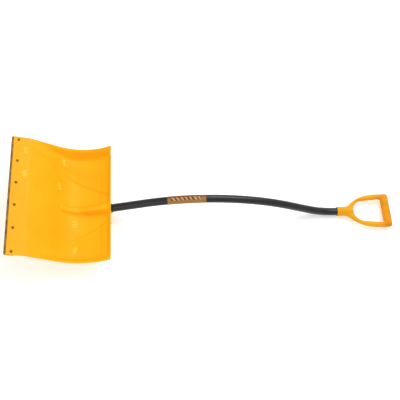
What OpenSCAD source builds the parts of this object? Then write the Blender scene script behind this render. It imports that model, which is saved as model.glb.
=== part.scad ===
// Snow shovel: a moulded scoop blade with a riveted steel wear strip, a bent
// steel handle tube in a moulded socket, and a D-shaped hand grip.
//
// It lies on its back on the floor, front of the blade up. The origin is below
// the middle of its bounding box, at floor level: +X runs from the blade to the
// grip, +Y to one side and +Z up. Everything is drawn first in the tool frame,
// where +X is the axis of the blade's socket and the origin is its mouth, and
// is then turned to lie on the floor.

/* [Blade] */
// Width of the blade across its side rims
blade_w = 445; // [380:5:520]
// Wall thickness of the moulded blade
blade_t = 3.2; // [2.8:0.2:4]
// Radius of the curved pan, seen from the side
pan_r = 165; // [150:5:190]
// Slope of the side rim at the rear edge, below the blade's chord, in degrees
rear_angle = 49; // [45:1:53]
// Slope of the straight ramp above the chord, in degrees
ramp_angle = 20.5; // [18:0.5:23]
// Length of the straight ramp between the pan and the lip
ramp_len = 103; // [90:1:130]
// Radius of the bend between the ramp and the lip
lip_r = 40; // [30:5:60]
// Slope of the flat lip above the chord, in degrees
lip_angle = 5; // [3:1:8]
// Length of the flat lip behind the cutting edge
lip_len = 54; // [48:1:80]
// Depth of the valley floor below the side rims, at the rear
dish = 62; // [50:1:68]
// Width of each steep side wall, seen from the front
wall_w = 32; // [28:1:40]
// Height of the step along the two fan creases
crease_step = 4; // [2:0.5:6]
// Distance of the fan creases from the middle at the rear edge
crease_rear_w = 45; // [40:1:60]
// Height that the rear edge curls up
curl_h = 7; // [3:1:9]

/* [Socket] */
// Angle between the blade's chord and the socket's axis, in degrees
blade_pitch = 30; // [26:1:34]
// Height of the rear corners above the socket's axis
corner_up = 70; // [66:1:76]
// Distance that the rear corners reach back past the socket's mouth
corner_set = 20; // [14:1:26]
// Depth that the handle tube enters the blade
socket_depth = 98; // [85:1:110]
// Wall thickness of the blade's socket
socket_wall = 4; // [3.5:0.5:5]
// Half the distance between the two skid ribs on the back
skid_w = 40; // [34:1:44]

/* [Wear strip] */
// Width of the steel wear strip
strip_w = 36; // [30:1:45]
// Thickness of the wear strip
strip_t = 1.6; // [1.2:0.2:3]
// Distance that the strip stands out past the plastic edge
strip_proud = 7; // [4:1:10]
// Number of rivets that hold the strip
rivet_count = 6; // [4:1:8]
// Distance between the two outer rivets
rivet_span = 420; // [320:5:430]
// Distance of the rivets behind the plastic edge
rivet_inset = 17; // [14:1:20]
// Diameter of the rivet shanks
rivet_d = 4.8; // [4:0.2:6]
// Diameter of the rivet heads
rivet_head_d = 10; // [8:0.5:12]

/* [Handle tube] */
// Outside diameter of the handle tube
tube_d = 29.4; // [28:0.2:30.4]
// Wall thickness of the handle tube
tube_wall = 1.2; // [1:0.1:1.6]
// Length of the straight run after the socket's mouth
run_1 = 120; // [100:5:140]
// Centreline radius of the long first bend
bend_1_r = 750; // [700:10:800]
// Angle of the first bend, in degrees
bend_1 = 43; // [40:1:46]
// Length of the straight run between the bends
run_2 = 100; // [80:5:120]
// Centreline radius of the second bend
bend_2_r = 240; // [220:10:260]
// Angle of the second bend, in degrees
bend_2 = 26; // [24:1:28]
// Start of the printed sleeve, as an angle along the first bend
sleeve_from = 7; // [4:0.5:10]
// Length of the printed sleeve, as an angle along the first bend
sleeve_turn = 10.5; // [8:0.5:12]
// Thickness of the printed sleeve
sleeve_t = 0.3; // [0.2:0.1:0.5]

/* [Grip] */
// Distance from the end of the second bend to the grip's mouth
grip_gap = 8; // [4:1:12]
// Distance from the grip's mouth to the outside of its hand bar
grip_len = 215; // [205:1:225]
// Width of the grip across its arms
grip_w = 137; // [130:1:145]
// Width of the hand opening
opening_w = 101; // [92:1:104]
// Thickness of the grip's arms and yoke
grip_t = 23; // [20:1:26]
// Diameter of the hand bar
bar_d = 33; // [30:1:36]
// Outside diameter of the grip's socket
grip_socket_d = 35; // [34:0.5:38]
// Depth that the handle tube enters the grip
grip_socket_depth = 62; // [50:1:66]

/* [Screws] */
// Diameter of the fixing screws
screw_d = 4.6; // [4:0.2:5]
// Diameter of the screw heads
screw_head_d = 9.6; // [8.6:0.2:11]
// Distance of the socket's screw from the socket's mouth
socket_screw_x = 30; // [20:1:50]
// Distance of the grip's screw from the grip's mouth
grip_screw_x = 26; // [20:1:34]

/* [Hidden] */

SKIN = "#fdb813";
STEEL = "#8b8d90";

half_w = blade_w / 2;
tube_r = tube_d / 2;
socket_r = tube_r + socket_wall;
grip_socket_r = grip_socket_d / 2;
grip_rim_r = grip_socket_r + 1;
// Clearance around the tube, past its upper end, and in the holes of the
// screws and rivets
fit_gap = 0.15;
end_gap = 1;
hole_play = 0.2;
// Solid bottom of the grip's socket
grip_bottom = 4;
// Distance that a cutting shape reaches past the surface it cuts
over = 1;

// Side rim, in the chord frame: u runs from the rear edge to the cutting edge,
// v out of the front of the blade.
pan_len = pan_r * (rear_angle + ramp_angle) * PI / 180;
bend_len = lip_r * (ramp_angle - lip_angle) * PI / 180;
s_ramp = pan_len;
s_bend = s_ramp + ramp_len;
s_lip = s_bend + bend_len;
s_edge = s_lip + lip_len;

function on_pan(s) = let(h = s / pan_r * 180 / PI - rear_angle)
    pan_r * [sin(rear_angle) + sin(h), cos(rear_angle) - cos(h)];
function on_ramp(s) = on_pan(s_ramp) + (s - s_ramp) * [cos(ramp_angle), sin(ramp_angle)];
function on_bend(s) = let(h = ramp_angle - (s - s_bend) / lip_r * 180 / PI)
    on_ramp(s_bend) + lip_r * [sin(ramp_angle) - sin(h), cos(h) - cos(ramp_angle)];
function on_lip(s) = on_bend(s_lip) + (s - s_lip) * [cos(lip_angle), sin(lip_angle)];
function rim(s) = s < s_ramp ? on_pan(s) : s < s_bend ? on_ramp(s) : s < s_lip ? on_bend(s) : on_lip(s);

// Chord frame to tool frame
function to_tool(p) = [corner_set - p[0] * cos(blade_pitch) + p[1] * sin(blade_pitch),
                       corner_up + p[0] * sin(blade_pitch) + p[1] * cos(blade_pitch)];

function clamp01(x) = min(1, max(0, x));
function smooth(x) = let(t = clamp01(x)) t * t * (3 - 2 * t);

// How the pan's depth is shared out: most of it is in the side walls, the rest
// in the wings between the walls and the two creases. The pan is deepest at the
// rear, and its depth fades out between fade_start and the lip.
wall_share = 0.62;
dish_rake = 9;
fade_start = 130;
wall_front_w = 10;
crease_w = 9;
crease_front_w = half_w - wall_front_w - crease_w - 8;
crease_fade = [s_bend - 60, s_bend + 30];
// The ridge over the socket, and the curl of the rear edge
ridge_foot_w = 27;
ridge_nose_w = 15;
ridge_top = 0.3;
ridge_min_h = 10;
ridge_end = 192;
ridge_nose_len = 22;
ridge_crest = socket_r + 2.4;
curl_len = 16;
curl_side = [6, 40];

function fade(s) = 1 - smooth((s - fade_start) / (s_lip - fade_start));
function wall(s) = wall_w - (wall_w - wall_front_w) * (1 - fade(s));
function crease(s) = crease_rear_w + (crease_front_w - crease_rear_w) * clamp01(s / s_lip);
function ridge_w(s) = ridge_foot_w - (ridge_foot_w - ridge_nose_w) * clamp01(s / ridge_end);
function crease_depth(s) = crease_step
    * (1 - smooth((s - crease_fade[0]) / (crease_fade[1] - crease_fade[0])));
function valley(s) = dish * fade(s) + crease_depth(s);
function along_dish(s, d) = to_tool(rim(s) - d * [sin(dish_rake), cos(dish_rake)]);
function ridge_h(s) = let(lack = ridge_crest - along_dish(s, valley(s))[1])
    max(ridge_min_h, lack / cos(blade_pitch - dish_rake))
    * sqrt(1 - pow(1 - clamp01((ridge_end - s) / ridge_nose_len), 2));
function curl(s, edge) = curl_h * pow(1 - clamp01(s / curl_len), 2)
    * smooth((edge - curl_side[0]) / curl_side[1]);
function depth(s, y) = let(w = abs(y), edge = half_w - w)
    dish * fade(s) * (wall_share * smooth(edge / wall(s))
                      + (1 - wall_share) * smooth((edge - wall(s)) / (half_w - wall(s) - crease(s))))
    + crease_depth(s) * smooth((crease(s) + crease_w - w) / crease_w)
    - ridge_h(s) * (1 - smooth((w / ridge_w(s) - ridge_top) / (1 - ridge_top)))
    - curl(s, edge);
function front(s, y) = let(p = along_dish(s, depth(s, y))) [p[0], y, p[1]];

// Grid of the blade's skin: rows run from the rear edge to the cutting edge,
// columns from one side to the other, and the columns follow the creases.
function steps(a, b, n) = [for (i = [0 : n - 1]) a + (b - a) * i / n];
ROWS = concat(steps(0, curl_len, 3), steps(curl_len, s_bend, 18), steps(s_bend, s_lip, 2),
              [s_lip, s_edge]);
function side_columns(s) = concat(
    steps(0, ridge_w(s), 3),
    steps(ridge_w(s), crease(s), 1),
    steps(crease(s), crease(s) + crease_w, 2),
    steps(crease(s) + crease_w, half_w - wall(s), 2),
    steps(half_w - wall(s), half_w, 4), [half_w]);
function columns(s) = let(c = side_columns(s), n = len(c))
    [for (i = [1 - n : n - 1]) i < 0 ? -c[-i] : c[i]];
GRID = [for (s = ROWS) [for (y = columns(s)) front(s, y)]];
nr = len(GRID);
nc = len(GRID[0]);

function unit(v) = v / norm(v);
function normal(i, j) = let(a = GRID[min(i + 1, nr - 1)][j] - GRID[max(i - 1, 0)][j],
                            b = GRID[i][min(j + 1, nc - 1)] - GRID[i][max(j - 1, 0)])
    unit(cross(b, a));
function skin_faces() = let(n = nr * nc) concat(
    [for (i = [0 : nr - 2], j = [0 : nc - 2]) let(a = i * nc + j) [a, a + nc + 1, a + 1]],
    [for (i = [0 : nr - 2], j = [0 : nc - 2]) let(a = i * nc + j) [a, a + nc, a + nc + 1]],
    [for (i = [0 : nr - 2], j = [0 : nc - 2]) let(a = n + i * nc + j) [a, a + 1, a + nc + 1]],
    [for (i = [0 : nr - 2], j = [0 : nc - 2]) let(a = n + i * nc + j) [a, a + nc + 1, a + nc]],
    [for (j = [0 : nc - 2]) [j, j + 1, n + j + 1, n + j]],
    [for (j = [0 : nc - 2]) let(a = (nr - 1) * nc + j) [a, n + a, n + a + 1, a + 1]],
    [for (i = [0 : nr - 2]) let(a = i * nc) [a, n + a, n + a + nc, a + nc]],
    [for (i = [0 : nr - 2]) let(a = i * nc + nc - 1) [a, a + nc, n + a + nc, n + a]]);

module skin() {
    points = concat([for (i = [0 : nr - 1], j = [0 : nc - 1]) GRID[i][j]],
                    [for (i = [0 : nr - 1], j = [0 : nc - 1]) GRID[i][j] - blade_t * normal(i, j)]);
    polyhedron(points, skin_faces(), convexity = 8);
}

// Where the shovel touches the floor: under the round end of the blade's socket
// and under the lower edge of the grip's mouth.
function turn(p, a) = [p[0] * cos(a) - p[1] * sin(a), p[0] * sin(a) + p[1] * cos(a)];
function on_bend_1(a) = [run_1 + bend_1_r * sin(a), -bend_1_r * (1 - cos(a))];
run_2_end = on_bend_1(bend_1) + turn([run_2, 0], -bend_1);
function on_bend_2(a) = run_2_end + turn([bend_2_r * sin(a), bend_2_r * (1 - cos(a))], -bend_1);
bend_2_end = on_bend_2(bend_2);
grip_tilt = bend_2 - bend_1;
socket_end = [-socket_depth, 0];
mouth_low = bend_2_end + turn([grip_gap, -grip_rim_r], grip_tilt);
reach = mouth_low - socket_end;
lay = -atan2(reach[1], reach[0]) - asin(socket_r / norm(reach));
cut_edge = to_tool(on_lip(s_edge + strip_proud));
bar_out = bend_2_end + turn([grip_gap + grip_len, 0], grip_tilt);
floor_z = turn(socket_end, lay)[1] - socket_r;
mid_x = (turn(cut_edge, lay)[0] + turn(bar_out, lay)[0]) / 2;

module lie_down() {
    translate([-mid_x, 0, -floor_z]) rotate([0, -lay, 0]) children();
}
module at_lip() {
    edge = to_tool(on_lip(s_edge));
    translate([edge[0], 0, edge[1]]) rotate([0, blade_pitch + lip_angle, 0]) children();
}
module at_grip() {
    p = bend_2_end + turn([grip_gap, 0], grip_tilt);
    translate([p[0], 0, p[1]]) rotate([0, -grip_tilt, 0]) children();
}
module along_x(len, r) {
    rotate([0, 90, 0]) cylinder(h = len, r = r, $fn = 64);
}

// ---- blade -----------------------------------------------------------------

// Ribs on the back. Their ends are distances s from the rear edge, and their
// roots are sunk into the skin.
rib_t = 3.2;
rib_root = 1.2;
rib_tip = 4;
skid_t = 4;
skid_from = 30;
skid_to = 210;
skid_low = 112;
skid_tail = 17;
skid_foot = [-18, 12];
keel_from = 110;
keel_to = 290;
keel_h = 26;
tie_places = [42, 84];
tie_lift = 4;
rib_steps = 12;
tail_steps = 8;

// A point behind the skin, a distance h from its front face, at y.
function behind(s, y, h) = let(p = front(s, y))
    [p[0] - h * sin(blade_pitch), p[2] - h * cos(blade_pitch)];
function on_floor(x) = [x, (floor_z - x * sin(lay)) / cos(lay)];
// Two sides of a rib that fades out behind the ramp, from s = a to s = b.
function rib_top(a, b, y) = [for (i = [0 : rib_steps]) behind(a + (b - a) * i / rib_steps, y, rib_root)];
function rib_tail(a, b, y, h) = [for (i = [0 : tail_steps])
    behind(b + (a - b) * i / tail_steps, y, rib_tip + (h - rib_tip) * i / tail_steps)];

module upright(outline, y, t) {
    translate([0, y + t / 2, 0]) rotate([90, 0, 0]) linear_extrude(t) polygon(outline);
}
module skid_rib(side) {
    y = side * skid_w;
    foot = [on_floor(behind(skid_low, y, 0)[0] + skid_foot[1]), on_floor(skid_foot[0])];
    upright(concat(rib_top(skid_from, skid_to, y), rib_tail(skid_low, skid_to, y, skid_tail), foot),
            y, skid_t);
}
module keel_rib() {
    upright(concat(rib_top(keel_from, keel_to, 0), rib_tail(keel_from, keel_to, 0, keel_h)), 0, rib_t);
}
// Ties the two skid ribs to the socket, across the valley floor.
module cross_rib(s) {
    top = behind(s, skid_w, rib_root);
    foot = on_floor(top[0])[1] + tie_lift;
    translate([top[0] - rib_t / 2, -skid_w, foot]) cube([rib_t, 2 * skid_w, top[1] - foot]);
}
module socket_body() {
    mirror([1, 0, 0]) rotate([0, 90, 0]) cylinder(h = socket_depth, r = socket_r, $fn = 32);
    translate([-socket_depth, 0, 0]) sphere(r = socket_r, $fn = 32);
}
module blade() {
    color(SKIN) lie_down() difference() {
        // The walls' outer faces are brought to the stated width.
        resize([0, blade_w, 0]) union() {
            skin();
            socket_body();
            skid_rib(1);
            skid_rib(-1);
            keel_rib();
            for (s = tie_places) cross_rib(s);
        }
        translate([-socket_depth, 0, 0]) along_x(socket_depth + over, tube_r + fit_gap);
        at_lip() rivet_holes(-blade_t, 0);
        at_socket_screw() screw_hole();
    }
}

// ---- wear strip and rivets ---------------------------------------------------

// Rivets are drawn with the underside of the head at z = 0, on the lip's front.
rivet_dome_h = 2;
rivet_tail_h = 1.2;
rivet_tail_d = rivet_d + 3;
stack_t = blade_t + strip_t;

module at_rivets() {
    for (i = [0 : rivet_count - 1])
        translate([rivet_inset, (i / (rivet_count - 1) - 0.5) * rivet_span, 0]) children();
}
module rivet_holes(low, high) {
    at_rivets() translate([0, 0, low - over])
        cylinder(h = high - low + 2 * over, d = rivet_d + hole_play, $fn = 48);
}
module wear_strip() {
    color(STEEL) lie_down() at_lip() difference() {
        translate([-strip_proud, -half_w, -stack_t]) cube([strip_w, blade_w, strip_t]);
        rivet_holes(-stack_t, -blade_t);
    }
}
module rivet() {
    dome_r = (pow(rivet_head_d / 2, 2) + rivet_dome_h * rivet_dome_h) / (2 * rivet_dome_h);
    intersection() {
        translate([0, 0, rivet_dome_h - dome_r]) sphere(r = dome_r, $fn = 64);
        cylinder(h = rivet_dome_h + over, d = rivet_head_d, $fn = 48);
    }
    translate([0, 0, -stack_t - rivet_tail_h]) cylinder(h = rivet_tail_h, d = rivet_tail_d, $fn = 48);
    translate([0, 0, -stack_t]) cylinder(h = stack_t, d = rivet_d, $fn = 48);
}
module wear_strip_rivets() {
    color("#6f6a62") lie_down() at_lip() at_rivets() rivet();
}

// ---- handle tube ---------------------------------------------------------------

// Centreline of the bent tube, as places [x, z] with a heading in degrees.
bend_1_steps = 34;
bend_2_steps = 10;
tube_sides = 28;
tube_end = bend_2_end + turn([grip_gap + grip_socket_depth - grip_bottom - end_gap, 0], grip_tilt);
TUBE_PATH = concat(
    [[socket_end, 0]],
    [for (i = [0 : bend_1_steps]) let(a = bend_1 * i / bend_1_steps) [on_bend_1(a), -a]],
    [for (i = [0 : bend_2_steps]) let(a = bend_2 * i / bend_2_steps) [on_bend_2(a), a - bend_1]],
    [[tube_end, grip_tilt]]);

function hoop(place, r) = [for (j = [0 : tube_sides - 1]) let(b = 360 * j / tube_sides, h = place[1])
    [place[0][0] - r * sin(b) * sin(h), r * cos(b), place[0][1] + r * sin(b) * cos(h)]];
// Two triangles between places a and b on one hoop and the same places on the next.
function pair(a, b, up) = [[a, b, b + up], [a, b + up, a + up]];
module bent_tube(path, r, wall) {
    n = tube_sides;
    last = len(path) - 1;
    inner = n * len(path);
    points = concat([for (p = path) each hoop(p, r)], [for (p = path) each hoop(p, r - wall)]);
    walls = [for (i = [0 : last - 1], j = [0 : n - 1]) let(a = i * n + j, b = i * n + (j + 1) % n)
        each concat(pair(b, a, n), pair(inner + a, inner + b, n))];
    ends = [for (j = [0 : n - 1]) let(b = (j + 1) % n, top = last * n)
        each concat(pair(j, b, inner), pair(top + b, top + j, inner))];
    polyhedron(points, concat(walls, ends), convexity = 6);
}
module handle_tube() {
    color("#2b2c2e") lie_down() difference() {
        bent_tube(TUBE_PATH, tube_r, tube_wall);
        at_socket_screw() tube_hole();
        at_grip_screw() tube_hole();
    }
}

module handle_sleeve() {
    skin_gap = 0.1;
    color("#c98a3c") lie_down() translate([run_1, 0, -bend_1_r]) rotate([90, 0, 0])
        rotate([0, 0, 90 - sleeve_from - sleeve_turn])
            rotate_extrude(angle = sleeve_turn, $fn = 360) translate([bend_1_r, 0]) difference() {
                circle(r = tube_r + skin_gap + sleeve_t, $fn = 64);
                circle(r = tube_r + skin_gap, $fn = 64);
            }
}

// ---- grip ----------------------------------------------------------------------

// The opening is a round bow at the yoke that widens into a rectangle with
// rounded corners at the bar.
bar_x = grip_len - bar_d / 2;
bar_inset = 4;
rim_len = 12;
bow_r = 44;
bow_x = 66 + bow_r;
corner_r = 10;
corner_x = bar_x - bar_d / 2 - 7;
corner_y = opening_w / 2 - corner_r;
grip_side = [[30, 0], [30, grip_socket_r], [38, grip_socket_r + 0.8], [48, 23], [58, 32],
             [72, 42.5], [90, 53], [110, 60.5], [132, 65], [156, 67.5], [bar_x, grip_w / 2], [bar_x, 0]];

module mirror_both() {
    children();
    mirror([0, 1]) children();
}
// Outline of the arms and yoke, seen from the front
module grip_outline() {
    difference() {
        mirror_both() polygon(grip_side);
        hull() {
            translate([bow_x, 0]) circle(r = bow_r, $fn = 96);
            mirror_both() translate([corner_x, corner_y]) circle(r = corner_r, $fn = 64);
        }
        translate([corner_x, -corner_y]) square([bar_x - corner_x + over, 2 * corner_y]);
    }
}
module d_grip() {
    color("#f9a81f") lie_down() difference() {
        at_grip() union() {
            along_x(rim_len, grip_rim_r);
            along_x(grip_socket_depth, grip_socket_r);
            linear_extrude(grip_t, center = true) grip_outline();
            translate([bar_x, bar_inset - grip_w / 2, 0]) rotate([-90, 0, 0])
                cylinder(h = grip_w - 2 * bar_inset, d = bar_d, $fn = 64);
        }
        at_grip() translate([-over, 0, 0]) along_x(grip_socket_depth - grip_bottom, tube_r + fit_gap);
        at_grip_screw() screw_hole();
    }
}

// ---- screws ----------------------------------------------------------------------

// Screws are drawn pointing up, with the underside of the head at z = 0, which
// sits head_sunk below the plastic around it.
head_h = 2.4;
head_sunk = 1.4;
screw_len = 14;
slot_w = 0.9;
slot_h = 1.2;
cut_len = 6;

module screw() {
    translate([0, 0, -head_h]) difference() {
        cylinder(h = head_h, d = screw_head_d, $fn = 48);
        for (a = [0, 90]) rotate([0, 0, a]) translate([-screw_head_d / 4, -slot_w / 2, -over])
            cube([screw_head_d / 2, slot_w, slot_h + over]);
    }
    cylinder(h = screw_len, d = screw_d, $fn = 48);
}
// Hole through the plastic with a flat seat for the head
module screw_hole() {
    translate([0, 0, -cut_len]) cylinder(h = 2 * cut_len, d = screw_d + hole_play, $fn = 48);
    translate([0, 0, -cut_len]) cylinder(h = cut_len, d = screw_head_d + 2 * hole_play, $fn = 48);
}
module tube_hole() {
    translate([0, 0, -over]) cylinder(h = cut_len + 2 * over, d = screw_d + hole_play / 2, $fn = 48);
}
module at_socket_screw() {
    translate([-socket_screw_x, 0, head_sunk - socket_r]) children();
}
module at_grip_screw() {
    at_grip() translate([grip_screw_x, 0, head_sunk - grip_socket_r]) children();
}
module socket_screw() {
    color(STEEL) lie_down() at_socket_screw() screw();
}
module grip_screw() {
    color(STEEL) lie_down() at_grip_screw() screw();
}

blade();
wear_strip();
wear_strip_rivets();
handle_tube();
handle_sleeve();
d_grip();
socket_screw();
grip_screw();
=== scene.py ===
"""Looks of a snow shovel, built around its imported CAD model.

The moulded blade, the wear strip, its rivets, the bent tube and the D-shaped
grip are rebuilt in more detail from the dimensions that drive the CAD model.
The screws and the printed sleeve are the CAD nodes themselves with better
materials. Lengths below are in millimetres and angles in degrees, in the CAD's
tool frame: X along the axis of the blade's socket, the origin at its mouth and
Z out of the front of the blade. tool_to_rest() lays the tool frame down on the
floor and turns millimetres into metres.
"""

import math
import random

import bmesh
import bpy
import numpy as np
from mathutils import Matrix, Vector


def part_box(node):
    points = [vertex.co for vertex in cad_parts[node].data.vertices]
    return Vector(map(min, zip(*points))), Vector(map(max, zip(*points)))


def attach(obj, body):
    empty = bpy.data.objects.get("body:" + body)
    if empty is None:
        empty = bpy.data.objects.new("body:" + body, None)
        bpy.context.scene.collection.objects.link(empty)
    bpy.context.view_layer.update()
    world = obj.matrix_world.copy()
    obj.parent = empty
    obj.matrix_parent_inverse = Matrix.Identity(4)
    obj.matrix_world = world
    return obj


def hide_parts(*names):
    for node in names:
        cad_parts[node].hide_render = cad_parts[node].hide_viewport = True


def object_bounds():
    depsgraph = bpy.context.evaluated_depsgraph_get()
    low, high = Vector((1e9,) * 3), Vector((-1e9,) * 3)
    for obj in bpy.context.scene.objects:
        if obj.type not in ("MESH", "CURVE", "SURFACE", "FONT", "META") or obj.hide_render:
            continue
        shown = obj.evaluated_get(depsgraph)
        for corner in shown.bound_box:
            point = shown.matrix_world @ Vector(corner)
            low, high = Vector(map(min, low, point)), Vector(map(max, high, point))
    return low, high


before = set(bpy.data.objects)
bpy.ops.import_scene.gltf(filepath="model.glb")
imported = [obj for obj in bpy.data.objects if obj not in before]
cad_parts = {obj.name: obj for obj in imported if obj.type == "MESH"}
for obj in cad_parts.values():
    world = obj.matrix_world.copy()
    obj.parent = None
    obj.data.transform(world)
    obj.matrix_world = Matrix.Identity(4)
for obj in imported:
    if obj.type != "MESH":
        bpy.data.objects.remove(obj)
CAD_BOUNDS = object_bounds()
MM = 0.001

# ---- driving dimensions, as in the CAD model ---------------------------------

BLADE_W = 445
BLADE_T = 3.2
PAN_R = 165
REAR_ANGLE = 49
RAMP_ANGLE = 20.5
RAMP_LEN = 103
LIP_R = 40
LIP_ANGLE = 5
LIP_LEN = 54
DISH = 62
DISH_RAKE = 9
WALL_W = 32
WALL_FRONT_W = 10
WALL_SHARE = 0.62
FADE_START = 130
CREASE_STEP = 4
CREASE_REAR_W = 45
CREASE_W = 9
CREASE_FADE_LEAD = 60
CREASE_FADE_LEN = 90
CURL_H = 7
CURL_LEN = 16
CURL_INSET = 6
CURL_RISE_W = 40
RIDGE_FOOT_W = 27
RIDGE_NOSE_W = 15
RIDGE_TOP = 0.3
RIDGE_MIN_H = 10
RIDGE_END = 192
RIDGE_NOSE_LEN = 22

BLADE_PITCH = 30
CORNER_UP = 70
CORNER_SET = 20
SOCKET_DEPTH = 98
SOCKET_WALL = 4

# Ribs on the back. FROM, TO, LOW and PLACES are distances from the blade's rear
# edge, and SKID_FOOT says where the flat foot ends
RIB_T = 3.2
RIB_ROOT = 1.2
RIB_TIP = 4
SKID_W = 40
SKID_T = 4
SKID_FROM = 30
SKID_TO = 210
SKID_LOW = 112
SKID_TAIL = 17
SKID_FOOT = (-18, 12)
KEEL_FROM = 110
KEEL_TO = 290
KEEL_H = 26
TIE_PLACES = (42, 84)
TIE_LIFT = 4

STRIP_W = 36
STRIP_T = 1.6
STRIP_PROUD = 7
RIVET_COUNT = 6
RIVET_SPAN = 420
RIVET_INSET = 17
RIVET_D = 4.8
RIVET_HEAD_D = 10
RIVET_DOME_H = 2
RIVET_TAIL_H = 1.2
RIVET_TAIL_D = RIVET_D + 3
RIVET_ROUND = 0.5

TUBE_D = 29.4
TUBE_WALL = 1.2
RUN_1 = 120
BEND_1_R = 750
BEND_1 = 43
RUN_2 = 100
BEND_2_R = 240
BEND_2 = 26

GRIP_GAP = 8
GRIP_LEN = 215
GRIP_W = 137
OPENING_W = 101
BOW_R = 44
CORNER_R = 10
GRIP_T = 23
BAR_D = 33
GRIP_SOCKET_D = 35
GRIP_SOCKET_DEPTH = 62
GRIP_BOTTOM = 4
GRIP_RIM_LEN = 12

SCREW_D = 4.6
SCREW_HEAD_D = 9.6
SCREW_SEAT = 1.4
SOCKET_SCREW_X = 30
GRIP_SCREW_X = 26

# Play round the tube, past its upper end and in the holes; then how far a cutter
# reaches past what it cuts, and how long a screw's cutter is
FIT_GAP = 0.15
END_GAP = 1
HOLE_PLAY = 0.2
OVER = 1
CUT_LEN = 6

HALF_W = BLADE_W / 2
TUBE_R = TUBE_D / 2
SOCKET_R = TUBE_R + SOCKET_WALL
GRIP_SOCKET_R = GRIP_SOCKET_D / 2
GRIP_RIM_R = GRIP_SOCKET_R + 1
BORE_R = TUBE_R + FIT_GAP
BAR_X = GRIP_LEN - BAR_D / 2
BOW_X = 66 + BOW_R
CORNER_X = BAR_X - BAR_D / 2 - 7
CORNER_Y = OPENING_W / 2 - CORNER_R
CREASE_FRONT_W = HALF_W - WALL_FRONT_W - CREASE_W - 8
RIDGE_CREST = SOCKET_R + 2.4

rad = math.radians


# ---- frames ------------------------------------------------------------------


def turn(p, angle):
    """A 2-D point turned about the origin."""
    c, s = math.cos(rad(angle)), math.sin(rad(angle))
    return (p[0] * c - p[1] * s, p[0] * s + p[1] * c)


def add(p, q):
    return (p[0] + q[0], p[1] + q[1])


def arc(radius, angle, side):
    """End of an arc that starts along +X and turns up (side 1) or down (-1)."""
    return (radius * math.sin(rad(angle)), side * radius * (1 - math.cos(rad(angle))))


BEND_1_END = add((RUN_1, 0), arc(BEND_1_R, BEND_1, -1))
RUN_2_END = add(BEND_1_END, turn((RUN_2, 0), -BEND_1))
BEND_2_END = add(RUN_2_END, turn(arc(BEND_2_R, BEND_2, 1), -BEND_1))
GRIP_TILT = BEND_2 - BEND_1
GRIP_MOUTH = add(BEND_2_END, turn((GRIP_GAP, 0), GRIP_TILT))


def lay_angle():
    """The turn that brings the socket's end and the grip's mouth to the floor."""
    low = add(BEND_2_END, turn((GRIP_GAP, -GRIP_RIM_R), GRIP_TILT))
    reach = (low[0] + SOCKET_DEPTH, low[1])
    return -math.degrees(math.atan2(reach[1], reach[0]) + math.asin(SOCKET_R / math.hypot(*reach)))


LAY = lay_angle()
FLOOR_Z = turn((-SOCKET_DEPTH, 0), LAY)[1] - SOCKET_R


def to_tool(u, v):
    """Chord frame (u rear to front, v out of the front) to tool frame (x, z)."""
    c, s = math.cos(rad(BLADE_PITCH)), math.sin(rad(BLADE_PITCH))
    return CORNER_SET - u * c + v * s, CORNER_UP + u * s + v * c


# ---- surface of the blade ----------------------------------------------------

PAN_LEN = PAN_R * rad(REAR_ANGLE + RAMP_ANGLE)
S_BEND = PAN_LEN + RAMP_LEN
S_LIP = S_BEND + LIP_R * rad(RAMP_ANGLE - LIP_ANGLE)
S_EDGE = S_LIP + LIP_LEN


def rim(s):
    """Side rim of the blade at the distance s from its rear edge, as (u, v)."""
    s = np.asarray(s, float)
    heading = np.clip(s, 0, PAN_LEN) / PAN_R - rad(REAR_ANGLE)
    u = PAN_R * (math.sin(rad(REAR_ANGLE)) + np.sin(heading))
    v = PAN_R * (math.cos(rad(REAR_ANGLE)) - np.cos(heading))
    on_ramp = np.clip(s - PAN_LEN, 0, RAMP_LEN)
    u += on_ramp * math.cos(rad(RAMP_ANGLE))
    v += on_ramp * math.sin(rad(RAMP_ANGLE))
    heading = rad(RAMP_ANGLE) - np.clip(s - S_BEND, 0, S_LIP - S_BEND) / LIP_R
    u += LIP_R * (math.sin(rad(RAMP_ANGLE)) - np.sin(heading))
    v += LIP_R * (np.cos(heading) - math.cos(rad(RAMP_ANGLE)))
    on_lip = np.maximum(s - S_LIP, 0)
    return u + on_lip * math.cos(rad(LIP_ANGLE)), v + on_lip * math.sin(rad(LIP_ANGLE))


def clamp01(x):
    return np.clip(x, 0, 1)


def smooth(x):
    t = clamp01(x)
    return t * t * (3 - 2 * t)


def fade(s):
    """Share of the pan's depth that is left at s."""
    return 1 - smooth((s - FADE_START) / (S_LIP - FADE_START))


def wall(s):
    """Width of each side wall, seen from the front."""
    return WALL_W - (WALL_W - WALL_FRONT_W) * (1 - fade(s))


def crease(s):
    """Distance of the two creases from the middle."""
    return CREASE_REAR_W + (CREASE_FRONT_W - CREASE_REAR_W) * clamp01(s / S_LIP)


def crease_depth(s):
    """Height of the step along the creases."""
    return CREASE_STEP * (1 - smooth((s - S_BEND + CREASE_FADE_LEAD) / CREASE_FADE_LEN))


def ridge_w(s):
    """Half the width of the ridge over the socket, at its foot."""
    return RIDGE_FOOT_W - (RIDGE_FOOT_W - RIDGE_NOSE_W) * clamp01(s / RIDGE_END)


def along_dish(s, depth):
    """The point at a depth below the side rim, as (x, z) in the tool frame."""
    u, v = rim(s)
    return to_tool(u - depth * math.sin(rad(DISH_RAKE)), v - depth * math.cos(rad(DISH_RAKE)))


def ridge_h(s):
    """Height of the ridge, which clears the socket and ends in a round nose."""
    lack = RIDGE_CREST - along_dish(s, DISH * fade(s) + crease_depth(s))[1]
    nose = np.sqrt(1 - (1 - clamp01((RIDGE_END - s) / RIDGE_NOSE_LEN)) ** 2)
    return np.maximum(RIDGE_MIN_H, lack / math.cos(rad(BLADE_PITCH - DISH_RAKE))) * nose


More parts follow.
